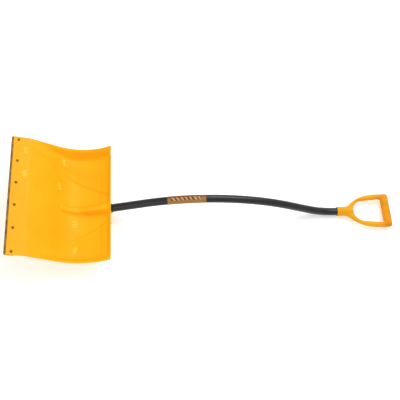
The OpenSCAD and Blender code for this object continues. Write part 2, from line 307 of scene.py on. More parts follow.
def depth_at(s, y):
    """Depth of the front surface below the side rims."""
    w = np.abs(y)
    edge = HALF_W - w
    wings = (edge - wall(s)) / (HALF_W - wall(s) - crease(s))
    pan = DISH * fade(s) * (WALL_SHARE * smooth(edge / wall(s)) + (1 - WALL_SHARE) * smooth(wings))
    step = crease_depth(s) * smooth((crease(s) + CREASE_W - w) / CREASE_W)
    ridge = ridge_h(s) * (1 - smooth((w / ridge_w(s) - RIDGE_TOP) / (1 - RIDGE_TOP)))
    curl = CURL_H * (1 - clamp01(s / CURL_LEN)) ** 2 * smooth((edge - CURL_INSET) / CURL_RISE_W)
    return pan + step - ridge - curl


def front(s, y):
    """Points of the front surface, in the tool frame."""
    x, z = along_dish(s, depth_at(s, y))
    return np.stack(np.broadcast_arrays(x, y, z), axis=-1)


# ---- mesh helpers ------------------------------------------------------------


def floats(values):
    return tuple(float(value) for value in values)


def tool_to_rest():
    """Matrix from the tool frame in millimetres to the row frame in metres."""
    cut = floats(to_tool(*rim(S_EDGE + STRIP_PROUD)))
    bar = add(BEND_2_END, turn((GRIP_GAP + GRIP_LEN, 0), GRIP_TILT))
    mid_x = (turn(cut, LAY)[0] + turn(bar, LAY)[0]) / 2
    return (
        Matrix.Scale(MM, 4)
        @ Matrix.Translation((-mid_x, 0, -FLOOR_Z))
        @ Matrix.Rotation(-rad(LAY), 4, "Y")
    )


REST = tool_to_rest()
STAND_UP = Matrix.Rotation(-math.pi / 2, 4, "Y")
WELD_DISTANCE = 0.004


def place(x, z, tilt):
    """Frame at (x, z) of the tool frame, turned up by tilt about Y."""
    return Matrix.Translation((x, 0, z)) @ Matrix.Rotation(-rad(tilt), 4, "Y")


AT_LIP = place(*floats(to_tool(*rim(S_EDGE))), -(BLADE_PITCH + LIP_ANGLE))
AT_GRIP = place(*GRIP_MOUTH, GRIP_TILT)
AT_SOCKET_SCREW = place(-SOCKET_SCREW_X, SCREW_SEAT - SOCKET_R, 0)
AT_GRIP_SCREW = AT_GRIP @ place(GRIP_SCREW_X, SCREW_SEAT - GRIP_SOCKET_R, 0)


def solid(name, points, faces, matrix=Matrix.Identity(4)):
    """A mesh object from points in the tool frame, in millimetres."""
    mesh = bpy.data.meshes.new(name)
    mesh.from_pydata([floats(p) for p in points], [], faces)
    mesh.transform(matrix)
    mesh.update()
    obj = bpy.data.objects.new(name, mesh)
    bpy.context.scene.collection.objects.link(obj)
    return obj


def bake_modifiers(obj):
    """Makes what the modifiers give the object's own mesh."""
    graph = bpy.context.evaluated_depsgraph_get()
    old = obj.data
    obj.data = bpy.data.meshes.new_from_object(obj.evaluated_get(graph))
    obj.modifiers.clear()
    bpy.data.meshes.remove(old)


def combine(obj, other, operation):
    """Exact boolean of obj with other, which is used up."""
    step = obj.modifiers.new("combine", "BOOLEAN")
    step.solver = "EXACT"
    step.operation = operation
    step.object = other
    bake_modifiers(obj)
    bpy.data.objects.remove(other)


def merge(name, objects):
    """One object that holds several separate closed meshes."""
    data = bmesh.new()
    for obj in objects:
        data.from_mesh(obj.data)
        bpy.data.objects.remove(obj)
    mesh = bpy.data.meshes.new(name)
    data.to_mesh(mesh)
    data.free()
    result = bpy.data.objects.new(name, mesh)
    bpy.context.scene.collection.objects.link(result)
    return result


def lathe(name, profile, matrix, sides=64):
    """A closed solid turned about X from a profile of (x, radius) points."""
    points = []
    rings = []
    for x, radius in profile:
        if radius <= 0:
            rings.append([len(points)])
            points.append((x, 0, 0))
            continue
        rings.append(list(range(len(points), len(points) + sides)))
        for i in range(sides):
            a = 2 * math.pi * i / sides
            points.append((x, radius * math.cos(a), radius * math.sin(a)))
    faces = []
    for low, high in zip(rings, rings[1:]):
        for i in range(sides):
            j = (i + 1) % sides
            if len(low) == 1:
                faces.append((low[0], high[j], high[i]))
            elif len(high) == 1:
                faces.append((low[i], low[j], high[0]))
            else:
                faces.append((low[i], low[j], high[j], high[i]))
    if len(rings[0]) > 1:
        faces.append(tuple(reversed(rings[0])))
    if len(rings[-1]) > 1:
        faces.append(tuple(rings[-1]))
    return outward(solid(name, points, faces, matrix))


def outward(obj):
    """Turns every face outward."""
    data = bmesh.new()
    data.from_mesh(obj.data)
    bmesh.ops.recalc_face_normals(data, faces=data.faces)
    data.to_mesh(obj.data)
    data.free()
    return obj


def rod(name, radius, low, high, matrix, sides=48):
    """A plain cylinder along the local Z, used only as a cutter."""
    return lathe(name, [(low, radius), (high, radius)], matrix @ STAND_UP, sides)


def upright(name, outline, y, thickness):
    """A plate that stands in the XZ plane at y, from its (x, z) outline."""
    count = len(outline)
    points = [(x, y + side * thickness / 2, z) for side in (-1, 1) for x, z in outline]
    faces = [tuple(range(count)), tuple(range(2 * count - 1, count - 1, -1))]
    for i in range(count):
        j = (i + 1) % count
        faces.append((i, i + count, j + count, j))
    return outward(solid(name, points, faces))


def round_edges(obj, width, angle, segments=2):
    """Rounds the edges that are sharper than angle."""
    data = bmesh.new()
    data.from_mesh(obj.data)
    sharp = [e for e in data.edges if len(e.link_faces) == 2 and e.calc_face_angle() > rad(angle)]
    bmesh.ops.bevel(
        data, geom=sharp, offset=width, segments=segments, profile=0.5, affect="EDGES", clamp_overlap=True
    )
    data.to_mesh(obj.data)
    data.free()


def weld(obj):
    """Merges the points that booleans leave almost on top of each other."""
    data = bmesh.new()
    data.from_mesh(obj.data)
    bmesh.ops.remove_doubles(data, verts=data.verts, dist=WELD_DISTANCE)
    bmesh.ops.dissolve_degenerate(data, edges=data.edges, dist=WELD_DISTANCE)
    data.to_mesh(obj.data)
    data.free()


def finish_piece(obj, material, sharp=35, replaces=None):
    """Smooth shading, material, body and the CAD node that the piece stands for."""
    weld(obj)
    obj.data.transform(REST)
    obj.data.polygons.foreach_set("use_smooth", [True] * len(obj.data.polygons))
    obj.data.set_sharp_from_angle(angle=rad(sharp))
    obj.data.materials.clear()
    obj.data.materials.append(material)
    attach(obj, "root")
    if replaces:
        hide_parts(replaces)
    return obj


# ---- materials ---------------------------------------------------------------


def srgb(code):
    """Linear colour of a web colour such as "fcba18"."""
    parts = [int(code[i : i + 2], 16) / 255 for i in (0, 2, 4)]
    return tuple(c / 12.92 if c <= 0.04045 else ((c + 0.055) / 1.055) ** 2.4 for c in parts) + (1,)


class Paint:
    """A material whose nodes are added one call at a time."""

    def __init__(self, name):
        self.material = bpy.data.materials.new(name)
        self.material.use_nodes = True
        self.tree = self.material.node_tree
        self.shader = self.tree.nodes["Principled BSDF"]
        self.coords = self.node("TexCoord").outputs["Object"]

    def node(self, kind, inputs=None, **settings):
        made = self.tree.nodes.new("ShaderNode" + kind)
        for key, value in settings.items():
            setattr(made, key, value)
        for key, value in (inputs or {}).items():
            self.feed(made.inputs[key], value)
        return made

    def feed(self, socket, value):
        if isinstance(value, bpy.types.NodeSocket):
            self.tree.links.new(value, socket)
        else:
            socket.default_value = value

    def set(self, **values):
        for key, value in values.items():
            self.feed(self.shader.inputs[key.replace("_", " ")], value)

    def stretched(self, scale):
        """Object coordinates scaled by three numbers."""
        return self.node("Mapping", {"Vector": self.coords, "Scale": scale}).outputs["Vector"]

    def noise(self, scale, detail=2, vector=None):
        inputs = {"Vector": vector or self.coords, "Scale": scale, "Detail": detail}
        return self.node("TexNoise", inputs).outputs["Fac"]

    def ramp(self, value, low, high, out_low=0, out_high=1):
        inputs = {"Value": value, "From Min": low, "From Max": high, "To Min": out_low, "To Max": out_high}
        return self.node("MapRange", inputs).outputs["Result"]

    def band(self, value, low, high, soft):
        """1 between low and high and 0 outside, with soft edges."""
        rising = self.ramp(value, low - soft, low + soft)
        falling = self.ramp(value, high - soft, high + soft, 1, 0)
        return self.math("MULTIPLY", rising, falling)

    def mix(self, factor, first, second):
        made = self.node("Mix", data_type="RGBA")
        self.feed(made.inputs[0], factor)
        self.feed(made.inputs[6], first)
        self.feed(made.inputs[7], second)
        return made.outputs[2]

    def math(self, operation, first, second=0.0):
        return self.node("Math", {0: first, 1: second}, operation=operation).outputs[0]

    def bump(self, height, distance, strength, normal=None):
        inputs = {"Height": height, "Distance": distance, "Strength": strength}
        if normal:
            inputs["Normal"] = normal
        return self.node("Bump", inputs).outputs["Normal"]


def moulded_plastic(name, colour, deep, pale, scuff_scale, worn=None):
    """Satin moulded polymer: faint mottling, fine peel and light scuffs.

    worn says where the tone changes: wear on the blade, painted shade on the grip.
    It gives the X where that starts, the X where it is complete, the tone, and the scale of its streaks or
    blotches.
    """
    p = Paint(name)
    mottle = p.ramp(p.noise(14, 3), 0.35, 0.68)
    body = p.mix(mottle, srgb(deep), srgb(colour))
    if worn:
        start, full, tone, scale = worn
        along = p.node("SeparateXYZ", {"Vector": p.coords}).outputs["X"]
        uneven = p.ramp(p.noise(1, 4, p.stretched(scale)), 0.36, 0.66, 0.15, 0.85)
        body = p.mix(p.math("MULTIPLY", p.ramp(along, start, full), uneven), body, srgb(tone))
    specks = p.ramp(p.noise(650, 1), 0.7, 0.78, 0, 0.35)
    body = p.mix(specks, body, srgb(pale))
    scratch = p.ramp(p.noise(1, 4, p.stretched(scuff_scale)), 0.66, 0.72)
    patches = p.ramp(p.noise(9, 2), 0.5, 0.66)
    scuffs = p.math("MULTIPLY", scratch, patches)
    faint = p.math("MULTIPLY", scuffs, 0.4)
    p.set(Base_Color=p.mix(faint, body, srgb(pale)))
    gloss = p.ramp(p.noise(45, 3), 0.3, 0.7, 0.44, 0.54)
    p.set(Roughness=p.math("ADD", gloss, p.math("MULTIPLY", scuffs, 0.2)))
    peel = p.bump(p.noise(420, 2), 0.00012, 0.35)
    p.set(Normal=p.bump(scuffs, 0.00006, 0.5, peel), IOR=1.49, Specular_IOR_Level=0.16)
    return p.material


def brushed_steel(name, bright, dull, stain, grain, roughness):
    """Plated or bare steel with a directional grain, stains and small pits."""
    p = Paint(name)
    lines = p.noise(1, 3, p.stretched(grain))
    clouds = p.ramp(p.noise(38, 4), 0.4, 0.66)
    body = p.mix(clouds, srgb(bright), srgb(dull))
    pits = p.ramp(p.noise(260, 3), 0.6, 0.7)
    spots = p.math("MULTIPLY", pits, p.ramp(p.noise(20, 2), 0.46, 0.62))
    p.set(Base_Color=p.mix(spots, body, srgb(stain)))
    p.set(Metallic=p.ramp(spots, 0, 1, 1, 0.25))
    p.set(Roughness=p.ramp(lines, 0.3, 0.7, roughness - 0.06, roughness + 0.1))
    rough = p.bump(spots, 0.0001, 0.6)
    p.set(Normal=p.bump(lines, 0.00004, 0.5, rough))
    return p.material


def enamelled_steel():
    """Black stove enamel: slight orange peel, rub marks along the tube, dust."""
    p = Paint("tube_enamel")
    rub = p.ramp(p.noise(1, 4, p.stretched((6, 320, 320))), 0.62, 0.8)
    rub = p.math("MULTIPLY", rub, p.ramp(p.noise(7, 2), 0.42, 0.62))
    tone = p.mix(p.ramp(p.noise(24, 3), 0.35, 0.65), srgb("131315"), srgb("1b1b1e"))
    dust = p.ramp(p.noise(900, 1), 0.7, 0.8, 0, 0.25)
    tone = p.mix(dust, tone, srgb("4b4c50"))
    p.set(Base_Color=p.mix(p.math("MULTIPLY", rub, 0.2), tone, srgb("4a4b4f")))
    gloss = p.ramp(p.noise(60, 2), 0.3, 0.7, 0.26, 0.36)
    p.set(Roughness=p.math("ADD", gloss, p.math("MULTIPLY", rub, 0.18)))
    p.set(Normal=p.bump(p.noise(240, 2), 0.0001, 0.3), Specular_IOR_Level=0.35)
    p.set(Coat_Weight=0.1, Coat_Roughness=0.15)
    return p.material


# The printed field, as shares of the sleeve's length and of its half width
FIELD_ENDS = (0.08, 0.88)
FIELD_SIDES = (-0.55, 0.22)
FIELD_BARS = 9
BAR_SLANT = 5


def printed_film():
    """Tan film with a paler field of irregular slanted bars, and no lettering."""
    p = Paint("sleeve_film")
    low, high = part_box("handle_sleeve")
    parts = p.node("SeparateXYZ", {"Vector": p.coords}).outputs
    along = p.ramp(parts["X"], low.x, high.x)
    across = p.ramp(parts["Y"], low.y, high.y, -1, 1)
    slanted = p.math("ADD", along, p.math("MULTIPLY", parts["Y"], BAR_SLANT))
    stripes = p.math("FRACT", p.math("MULTIPLY", slanted, FIELD_BARS))
    uneven = p.math("ADD", stripes, p.math("MULTIPLY", p.noise(38, 1), 0.9))
    bars = p.ramp(uneven, 0.9, 0.95)
    field = p.math("MULTIPLY", p.band(across, *FIELD_SIDES, 0.03), p.band(along, *FIELD_ENDS, 0.02))
    worn = p.ramp(p.noise(60, 3), 0.3, 0.7)
    body = p.mix(p.ramp(across, -0.15, 0.22), srgb("9c7034"), srgb("5f3c12"))
    body = p.mix(p.math("MULTIPLY", worn, 0.4), body, srgb("966428"))
    body = p.mix(field, body, srgb("c08c5a"))
    p.set(Base_Color=p.mix(p.math("MULTIPLY", field, bars), body, srgb("653510")))
    p.set(Roughness=p.ramp(p.noise(90, 2), 0.3, 0.7, 0.4, 0.52), Specular_IOR_Level=0.3)
    p.set(Normal=p.bump(p.noise(500, 2), 0.00005, 0.4))
    return p.material


# ---- blade -------------------------------------------------------------------

# Places of the groups of small moulded bars, as (distance from the rear edge, y)
MARKS = [(324, 80), (324, 170), (194, 82), (180, 176), (136, -54), (132, -162)]
MARK_W = 6
MARK_H = 2.4
MARK_PITCH = 9
MARK_HALF_LEN = (8, 12, 8)
MARK_STEPS = 16

SHELL_ROUND = 0.9
RIB_ROUND = 0.6
RIB_STEPS = 40
TAIL_STEPS = 24
COLLAR_H = 0.6
COLLAR_LEN = 8
DOME_STEPS = 16


def spread(*stops):
    """Numbers from stop to stop, with a count of steps between each two."""
    values = [stops[0]]
    for count, stop in zip(stops[1::2], stops[2::2]):
        values += list(np.linspace(values[-1], stop, count + 1)[1:])
    return np.array(values)


def blade_grid():
    """Front surface as rows of points; the columns follow the creases."""
    nose = RIDGE_END - RIDGE_NOSE_LEN
    places = spread(0, 8, CURL_LEN, 36, nose, 14, RIDGE_END, 28, S_BEND, 6, S_LIP, 12, S_EDGE)
    shares = spread(0, 12, 1, 6, 2, 5, 3, 16, 4, 14, 5)
    rows = []
    for s in places:
        marks = [0, ridge_w(s), crease(s), crease(s) + CREASE_W, HALF_W - wall(s), HALF_W]
        half = np.interp(shares, range(6), marks)
        y = np.concatenate([-half[:0:-1], half])
        rows.append(front(s, y))
    return np.array(rows)


def shell():
    """The skin of the blade, with rounded edges all round."""
    top = blade_grid()
    across = np.gradient(top, axis=1)
    along = np.gradient(top, axis=0)
    normal = np.cross(across, along)
    normal /= np.linalg.norm(normal, axis=2, keepdims=True)
    under = top - BLADE_T * normal
    nr, nc = top.shape[:2]
    points = np.concatenate([top.reshape(-1, 3), under.reshape(-1, 3)])
    # The walls' outer faces are brought to the stated width
    points[:, 1] *= HALF_W / np.abs(points[:, 1]).max()
    faces = []
    shift = nr * nc
    for i in range(nr - 1):
        for j in range(nc - 1):
            a = i * nc + j
            faces.append((a, a + 1, a + nc + 1, a + nc))
            faces.append((shift + a, shift + a + nc, shift + a + nc + 1, shift + a + 1))
    # The edges of both faces are joined all round the blade
    loop = list(range(nc))
    loop += [i * nc + nc - 1 for i in range(1, nr)]
    loop += [(nr - 1) * nc + j for j in range(nc - 2, -1, -1)]
    loop += [i * nc for i in range(nr - 2, 0, -1)]
    for a, b in zip(loop, loop[1:] + loop[:1]):
        faces.append((b, a, shift + a, shift + b))
    obj = outward(solid("blade_shell", points, faces))
    round_edges(obj, SHELL_ROUND, angle=60, segments=3)
    return obj


def behind(s, y, h):
    """A point behind the skin, a distance h from its front face, as (x, z)."""
    x, _, z = front(s, y)
    return (float(x) - h * math.sin(rad(BLADE_PITCH)), float(z) - h * math.cos(rad(BLADE_PITCH)))


def on_floor(x):
    """The floor at x, as (x, z) in the tool frame."""
    return (x, (FLOOR_Z - x * math.sin(rad(LAY))) / math.cos(rad(LAY)))


def rib_outline(start, stop, y, low, height):
    """Side view of a rib: its root in the skin and its free edge."""
    outline = [behind(s, y, RIB_ROOT) for s in np.linspace(start, stop, RIB_STEPS)]
    for s, t in zip(np.linspace(stop, low, TAIL_STEPS), np.linspace(0, 1, TAIL_STEPS)):
        outline.append(behind(s, y, RIB_TIP + (height - RIB_TIP) * t))
    return outline


def skid_rib(y):
    """A rib that stands on the floor along its flat foot."""
    foot = [on_floor(behind(SKID_LOW, y, 0)[0] + SKID_FOOT[1]), on_floor(SKID_FOOT[0])]
    return upright("skid", rib_outline(SKID_FROM, SKID_TO, y, SKID_LOW, SKID_TAIL) + foot, y, SKID_T)


def cross_rib(s):
    """A rib that ties the two skid ribs to the socket."""
    x, z = behind(s, SKID_W, RIB_ROOT)
    foot = on_floor(x)[1] + TIE_LIFT
    rear, ahead = x - RIB_T / 2, x + RIB_T / 2
    return upright("tie", [(rear, foot), (ahead, foot), (ahead, z), (rear, z)], 0, 2 * SKID_W)


def ribs():
    """Keel, two skids and the two cross ribs on the back of the blade."""
    made = [upright("keel", rib_outline(KEEL_FROM, KEEL_TO, 0, KEEL_FROM, KEEL_H), 0, RIB_T)]
    made += [skid_rib(side * SKID_W) for side in (-1, 1)]
    made += [cross_rib(s) for s in TIE_PLACES]
    for rib in made:
        round_edges(rib, RIB_ROUND, angle=50)
    return made


def socket_body():
    """Socket on the back of the blade, with a round end and a collar."""
    collar_r = SOCKET_R + COLLAR_H
    profile = [(0, 0), (0, SOCKET_R - COLLAR_H), (-0.8, collar_r), (-COLLAR_LEN, collar_r)]
    profile.append((-COLLAR_LEN - 1.5, SOCKET_R))
    for i in range(DOME_STEPS):
        a = math.pi / 2 * i / DOME_STEPS
        profile.append((-SOCKET_DEPTH - SOCKET_R * math.sin(a), SOCKET_R * math.cos(a)))
    profile.append((-SOCKET_DEPTH - SOCKET_R, 0))
    return lathe("socket_body", profile, Matrix.Identity(4), 72)


def mark(s, y, half_len):
    """A small raised bar on the front of the blade that points away from the socket."""
    here = Vector(floats(front(s, y)))
    ahead = Vector(floats(front(s + 1, y + y / s))) - here
    aside = Vector(floats(front(s, y + 1))) - here
    up = aside.cross(ahead).normalized()
    axes = Matrix((ahead.normalized(), up.cross(ahead).normalized(), up)).transposed().to_4x4()
    profile = [(1, 0)]
    for i in range(1, MARK_STEPS):
        a = math.pi * i / MARK_STEPS
        profile.append((math.cos(a), math.sin(a) ** 0.7))
    profile.append((-1, 0))
    size = Matrix.Diagonal((half_len, MARK_W / 2, MARK_H, 1))
    return lathe("mark", profile, Matrix.Translation(here) @ axes @ size, 20)


def moulded_marks(material):
    """Groups of three short bars, in place of whatever is moulded there."""
    bars = list(zip((-MARK_PITCH, 0, MARK_PITCH), MARK_HALF_LEN))
    made = [mark(s, y + shift, half_len) for s, y in MARKS for shift, half_len in bars]
    return finish_piece(merge("moulded_marks", made), material)


def screw_cutters(matrix):
    """Shank hole and flat head seat of a fixing screw."""
    return [
        rod("hole", (SCREW_D + HOLE_PLAY) / 2, -CUT_LEN, 2 * CUT_LEN, matrix, 32),
        rod("seat", (SCREW_HEAD_D + 2 * HOLE_PLAY) / 2, -CUT_LEN, 0, matrix, 48),
    ]


def tube_bore(depth, chamfer, matrix):
    """Cutter for a bore that holds the tube, open to a chamfered mouth at X = 0."""
    side = math.copysign(1, depth)
    profile = [(-2 * side, BORE_R + 1.5 * chamfer), (0, BORE_R + chamfer)]
    profile += [(chamfer * side, BORE_R), (depth, BORE_R)]
    return lathe("bore", profile, matrix, 64)


def rivet_places():
    """Frames of the rivets, at the front of the lip."""
    across = [(i / (RIVET_COUNT - 1) - 0.5) * RIVET_SPAN for i in range(RIVET_COUNT)]
    return [AT_LIP @ Matrix.Translation((RIVET_INSET, y, 0)) for y in across]


def rivet_holes(low, high, sides):
    """Cutter for all the rivets' holes between two heights."""
    radius = RIVET_D / 2 + HOLE_PLAY / 2
    return merge("holes", [rod("hole", radius, low - OVER, high + OVER, m, sides) for m in rivet_places()])


def blade(material):
    """The one-piece blade: its skin, socket and ribs, with every hole cut."""
    obj = shell()
    obj.name = "moulded_blade"
    combine(obj, socket_body(), "UNION")
    for rib in ribs():
        combine(obj, rib, "UNION")
    combine(obj, tube_bore(-SOCKET_DEPTH, 1, Matrix.Identity(4)), "DIFFERENCE")
    combine(obj, rivet_holes(-BLADE_T, 0, 24), "DIFFERENCE")
    for cutter in screw_cutters(AT_SOCKET_SCREW):
        combine(obj, cutter, "DIFFERENCE")
    return finish_piece(obj, material, replaces="blade")


# ---- wear strip --------------------------------------------------------------

STRIP_STEPS = 180
STRIP_CORNER_R = 4
NICK_COUNT = 16
NICK_DEPTH = (0.1, 0.45)
NICK_HALF_W = (1.5, 6)


def nicks(y):
    """Depth of the small nicks in the leading edge."""
    dice = random.Random(11)
    depth = np.zeros_like(y)
    for _ in range(NICK_COUNT):
        centre = dice.uniform(-HALF_W, HALF_W)
        depth += dice.uniform(*NICK_DEPTH) * np.exp(-(((y - centre) / dice.uniform(*NICK_HALF_W)) ** 2))
    return depth


def wear_strip(material):
    """Steel strip with a ground, slightly nicked leading edge."""
    y = np.linspace(-HALF_W, HALF_W, STRIP_STEPS + 1)
    inset = np.clip(STRIP_CORNER_R - (HALF_W - np.abs(y)), 0, STRIP_CORNER_R)
    corner = STRIP_CORNER_R - np.sqrt(STRIP_CORNER_R**2 - inset**2)
    lead = -STRIP_PROUD + nicks(y) + corner
    tail = STRIP_W - STRIP_PROUD - corner
    under = -BLADE_T - STRIP_T
    top = -BLADE_T
    # Section of the strip: its ground leading edge, then its rounded rear edge
    ground = [(1.6, top), (0.3, top - 0.45), (0, top - 0.9), (0.4, under)]
    rear = [(-0.4, under), (0, under + 0.4), (0, top - 0.3), (-0.3, top)]
    points = []
    for i, across in enumerate(y):
        points += [(lead[i] + x, across, z) for x, z in ground]
        points += [(tail[i] + x, across, z) for x, z in rear]
    ring = len(ground) + len(rear)
    faces = [tuple(range(ring)), tuple(range(len(points) - 1, len(points) - ring - 1, -1))]
    for i in range(len(y) - 1):
        for k in range(ring):
            a, b = i * ring + k, i * ring + (k + 1) % ring
            faces.append((a, b, b + ring, a + ring))
    obj = outward(solid("steel_strip", points, faces, AT_LIP))
    combine(obj, rivet_holes(under, top, 32), "DIFFERENCE")
    return finish_piece(obj, material, sharp=20, replaces="wear_strip")


def rivets(material):
    """Domed rivets, each closed by a tail with a rounded rim under the strip."""
    head_r, tail_r, shank_r = RIVET_HEAD_D / 2, RIVET_TAIL_D / 2, RIVET_D / 2
    under = -BLADE_T - STRIP_T
    end = under - RIVET_TAIL_H
    bevel = 0.3 * RIVET_ROUND
    profile = [(end, 0), (end, tail_r - RIVET_ROUND), (end + bevel, tail_r - bevel)]
    profile += [(end + RIVET_ROUND, tail_r), (under, tail_r), (under, shank_r), (0, shank_r)]
    profile += [(0, head_r - bevel), (0.05, head_r)]
    dome_r = (head_r**2 + RIVET_DOME_H**2) / (2 * RIVET_DOME_H)
    for a in np.linspace(0.97 * math.asin(head_r / dome_r), 0, 14):
        profile.append((RIVET_DOME_H - dome_r * (1 - math.cos(a)), dome_r * math.sin(a)))
    made = [lathe("rivet", profile, m @ STAND_UP, 48) for m in rivet_places()]
    joined = merge("domed_rivets", made)
    return finish_piece(joined, material, replaces="wear_strip_rivets")


# ---- handle tube -------------------------------------------------------------


def tube_path():
    """Centreline of the tube as (x, z, heading)."""
    path = [(-SOCKET_DEPTH * t, 0, 0) for t in np.linspace(1, 0, 12)]
    path += [(RUN_1 * t, 0, 0) for t in np.linspace(0.1, 0.9, 9)]
    path += [(*add((RUN_1, 0), arc(BEND_1_R, a, -1)), -a) for a in np.linspace(0, BEND_1, 90)]
    for t in np.linspace(0.1, 0.9, 9):
        path.append((*add(BEND_1_END, turn((RUN_2 * t, 0), -BEND_1)), -BEND_1))
    for a in np.linspace(0, BEND_2, 30):
        path.append((*add(RUN_2_END, turn(arc(BEND_2_R, a, 1), -BEND_1)), a - BEND_1))
    end = GRIP_GAP + GRIP_SOCKET_DEPTH - GRIP_BOTTOM - END_GAP
    for t in np.linspace(0.12, 1, 8):
        path.append((*add(BEND_2_END, turn((end * t, 0), GRIP_TILT)), GRIP_TILT))
    return path


def handle_tube(material):
    """The bent steel tube, hollow, with a hole for each fixing screw."""
    sides = 72
    path = tube_path()
    points = []
    for radius in (TUBE_R, TUBE_R - TUBE_WALL):
        for x, z, heading in path:
            c, s = math.cos(rad(heading)), math.sin(rad(heading))
            for i in range(sides):
                a = 2 * math.pi * i / sides
                out, up = radius * math.cos(a), radius * math.sin(a)
                points.append((x - up * s, out, z + up * c))
    inner = len(path) * sides
    faces = []
    for i in range(len(path) - 1):
        for k in range(sides):
            a, b = i * sides + k, i * sides + (k + 1) % sides
            faces.append((a, b, b + sides, a + sides))
            faces.append((inner + a, inner + a + sides, inner + b + sides, inner + b))
    last = (len(path) - 1) * sides
    for k in range(sides):
        j = (k + 1) % sides
        faces.append((k, inner + k, inner + j, j))
        faces.append((last + k, last + j, inner + last + j, inner + last + k))
    obj = outward(solid("bent_tube", points, faces))
    hole_r = SCREW_D / 2 + HOLE_PLAY / 4
    places = (AT_SOCKET_SCREW, AT_GRIP_SCREW)
    holes = [rod("hole", hole_r, -OVER, CUT_LEN + OVER, m, 32) for m in places]
    combine(obj, merge("holes", holes), "DIFFERENCE")
    return finish_piece(obj, material, replaces="handle_tube")


# ---- grip --------------------------------------------------------------------

GRIP_VOXEL = 1.0
GRIP_ROUND = 7.5
SEAM_W = 1.3
SEAM_H = 0.35
BAR_CROWN = 0.9
BAR_CAP_LEN = 9
BAR_END_SHARE = 0.35
BAR_END_GAP = 0.3
BAR_STEPS = 48

# Half outline of the arms and yoke, from the mouth to the hand bar
GRIP_HALF = [
    (30, GRIP_SOCKET_R), (38, GRIP_SOCKET_R + 0.8), (48, 23), (58, 32), (72, 42.5), (90, 53),
    (110, 60.5), (132, 65), (156, 67.5), (BAR_X, GRIP_W / 2),
]


def through(points, steps=8):
    """A smooth line through the points (Catmull-Rom)."""
    points = [np.array(p, float) for p in points]
    padded = [2 * points[0] - points[1], *points, 2 * points[-1] - points[-2]]
    line = []
    for a, b, c, d in zip(padded, padded[1:], padded[2:], padded[3:]):
        for t in np.linspace(0, 1, steps, endpoint=False):
            line.append(0.5 * (2 * b + (c - a) * t + (2 * a - 5 * b + 4 * c - d) * t**2
                               + (3 * b - a - 3 * c + d) * t**3))
    return [tuple(p) for p in line + [points[-1]]]


def opening_outline():
    """Outline of the hand opening: a round end at the yoke, two small corners at the bar."""
    # The straight side from the round end to the corner is tangent to both
    run = CORNER_X - BOW_X
    lean = math.atan2(CORNER_Y, run) + math.acos((BOW_R - CORNER_R) / math.hypot(run, CORNER_Y))
    points = []
    for t in np.linspace(math.pi, lean, 40):
        points.append((BOW_X + BOW_R * math.cos(t), BOW_R * math.sin(t)))
    corner_end = 0.25
    for t in np.linspace(lean, corner_end, 10):
        points.append((CORNER_X + CORNER_R * math.cos(t), CORNER_Y + CORNER_R * math.sin(t)))
    # The outline ends inside the hand bar
    points.append((BAR_X - 4, CORNER_Y))
    return points


def outline_plate(name, outer, hole, thickness, rounding):
    """A plate with rounded edges from an outline and a hole in it."""
    curve = bpy.data.curves.new(name, "CURVE")
    curve.dimensions = "2D"
    curve.fill_mode = "BOTH"
    curve.bevel_depth = rounding
    curve.bevel_resolution = 5
    curve.extrude = thickness / 2 - rounding
    curve.offset = -rounding
    for outline in (outer, hole):
        spline = curve.splines.new("POLY")
        spline.points.add(len(outline) - 1)
        for point, (x, y) in zip(spline.points, outline):
            point.co = (x, y, 0, 1)
        spline.use_cyclic_u = True
    shape = bpy.data.objects.new(name, curve)
    bpy.context.scene.collection.objects.link(shape)
    graph = bpy.context.evaluated_depsgraph_get()
    mesh = bpy.data.meshes.new_from_object(shape.evaluated_get(graph))
    obj = bpy.data.objects.new(name, mesh)
    bpy.context.scene.collection.objects.link(obj)
    bpy.data.objects.remove(shape)
    return obj


def mirrored(half):
    """A half outline with its mirror image across Y = 0."""
    return half + [(x, -y) for x, y in reversed(half) if abs(y) > 1e-6]


def raise_seam(obj):
    """Lifts the mould's parting line, which runs round the grip at half its thickness."""
    vertices = obj.data.vertices
    places = np.empty(3 * len(vertices), np.float32)
    normals = np.empty_like(places)
    vertices.foreach_get("co", places)
    vertices.foreach_get("normal", normals)
    share = np.maximum(0, 1 - (places[2::3] / SEAM_W) ** 2)
    vertices.foreach_set("co", places + SEAM_H * np.repeat(share, 3) * normals)
    obj.data.update()


def hand_bar():
    """The bar that a hand holds, thickest in the middle and rounded at its ends."""
    half = GRIP_W / 2
    cap_from = half - BAR_CAP_LEN
    profile = []
    for t in np.linspace(-1, 1, BAR_STEPS + 1):
        crown = BAR_D / 2 - SEAM_H - BAR_CROWN * t**4
        into_cap = max(0.0, (abs(t) * half - cap_from) / BAR_CAP_LEN)
        cap = math.sqrt(max(0.0, 1 - into_cap**2))
        share = BAR_END_SHARE + (1 - BAR_END_SHARE) * cap
        profile.append((t * (half - BAR_END_GAP), crown * share))
    sideways = Matrix.Translation((BAR_X, 0, 0)) @ Matrix.Rotation(math.pi / 2, 4, "Z")
    return lathe("bar", profile, sideways, 72)


def grip_sleeve():
    """The grip's socket, with a raised rim at its mouth and a tapered end."""
    r, rim_r = GRIP_SOCKET_R, GRIP_RIM_R
    profile = [(0, rim_r - 0.7), (0.7, rim_r), (GRIP_RIM_LEN - 0.6, rim_r), (GRIP_RIM_LEN, r)]
    profile += [(GRIP_SOCKET_DEPTH - 6, r), (GRIP_SOCKET_DEPTH, r - 3), (GRIP_SOCKET_DEPTH + 4, r - 9)]
    return lathe("sleeve", profile, Matrix.Identity(4), 72)


